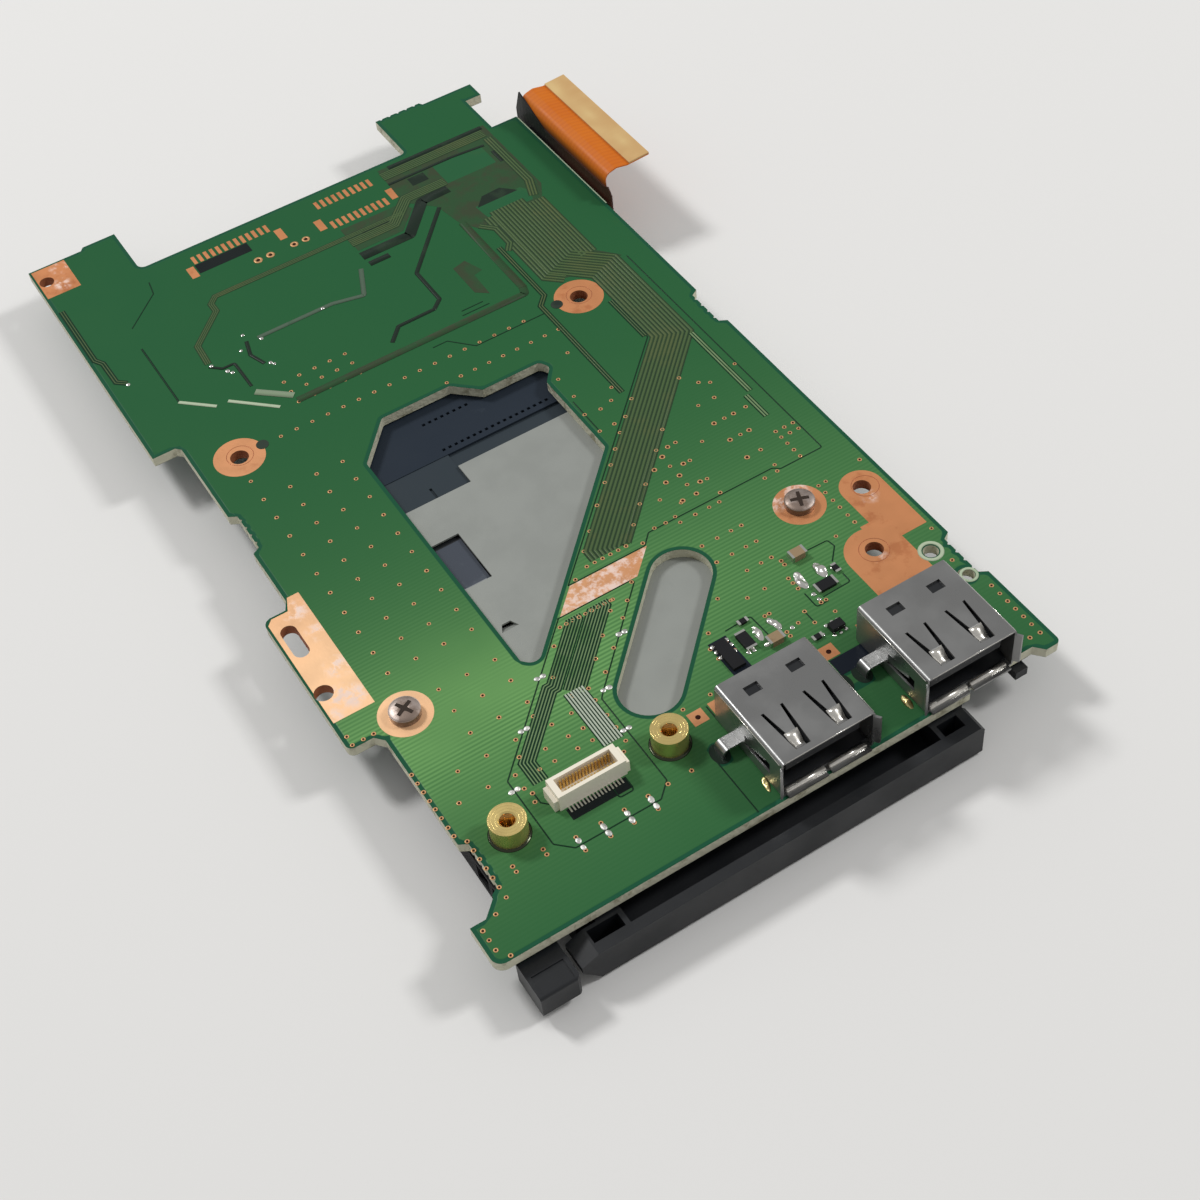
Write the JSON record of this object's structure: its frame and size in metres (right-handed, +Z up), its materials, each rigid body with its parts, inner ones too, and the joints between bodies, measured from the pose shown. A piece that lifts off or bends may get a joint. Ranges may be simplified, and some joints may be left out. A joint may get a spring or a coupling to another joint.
{
  "type": "laptop card reader board",
  "caption": "Green laptop daughter board with two USB sockets, board connector and brass spacers on top, and a card slot cage with blanking card and push ejector below",
  "frame": {"origin": "centre of the overall box on the surface that the cage rails stand on", "axes": "+Z up from the rails to the sockets, +Y from the socket edge to the back edge, +X along the socket edge to the right"},
  "size_m": [0.0937, 0.1592, 0.0148],
  "materials": {
    "board": "green solder mask over glass laminate, semi gloss",
    "copper": "bare copper, slightly worn",
    "socket_steel": "plated pressed steel",
    "black_plastic": "moulded, fine grain",
    "gold_contact": "plated",
    "ivory_plastic": "moulded",
    "tinned": "tin plated",
    "brass": "turned",
    "screw_steel": "zinc plated",
    "cage_steel": "plain pressed sheet",
    "rail_plastic": "moulded",
    "grey_plastic": "moulded",
    "header_plastic": "moulded",
    "lever_steel": "plain pressed sheet",
    "film": "polyimide film",
    "stiffener": "stiffened film tail",
    "film_black": "insulating tape",
    "capacitor": "ceramic body"
  },
  "bodies": {
    "board": {"circuit_board": "board", "copper_lands": "copper", "usb_shell_left": "socket_steel", "usb_shell_right": "socket_steel", "usb_insulator_left": "black_plastic", "usb_insulator_right": "black_plastic", "usb_contacts_left": "gold_contact", "usb_contacts_right": "gold_contact", "board_connector_housing": "ivory_plastic", "board_connector_pins": "tinned", "spacer_left": "brass", "spacer_right": "brass", "cage_screws": "screw_steel", "cage_cover": "cage_steel", "cage_floor": "cage_steel", "cage_rail_left": "rail_plastic", "cage_rail_right": "rail_plastic", "cage_roof": "grey_plastic", "card_header": "header_plastic", "header_contacts": "gold_contact", "rod_channel": "rail_plastic", "lever_rivet": "lever_steel", "switch_body": "black_plastic", "switch_legs": "tinned", "film_cable": "film", "film_stiffener": "stiffener", "film_guard": "film_black", "film_socket_housing": "ivory_plastic", "film_latch": "black_plastic", "chip_resistors": "black_plastic", "chip_capacitors": "capacitor", "small_chips": "black_plastic", "chip_terminals": "tinned", "small_packages": "black_plastic"},
    "ejector": {"eject_button": "black_plastic", "eject_rod": "lever_steel"},
    "lever": {"eject_lever": "lever_steel"},
    "card": {"blanking_card": "black_plastic"},
    "knob": {"switch_knob": "black_plastic"}
  },
  "joints": [
    {"name": "eject_push", "type": "slide", "parent": "board", "child": "ejector", "axis": [0, 1, 0], "range_m": [0, 0.004]},
    {"name": "lever_swing", "type": "hinge", "parent": "board", "child": "lever", "pos_m": [-0.02285, 0.00265, 0.00045], "axis": [0, 0, 1], "range_deg": [-13.9, 0]},
    {"name": "card_eject", "type": "slide", "parent": "board", "child": "card", "axis": [0, -1, 0], "range_m": [0, 0.00371]},
    {"name": "switch_slide", "type": "slide", "parent": "board", "child": "knob", "axis": [-1, 0, 0], "range_m": [0, 0.002]}
  ],
  "couplings": [
    {"joint": "lever_swing", "follows": "eject_push", "rad_per_m": -60.647},
    {"joint": "card_eject", "follows": "eject_push", "ratio": 0.92816}
  ]
}
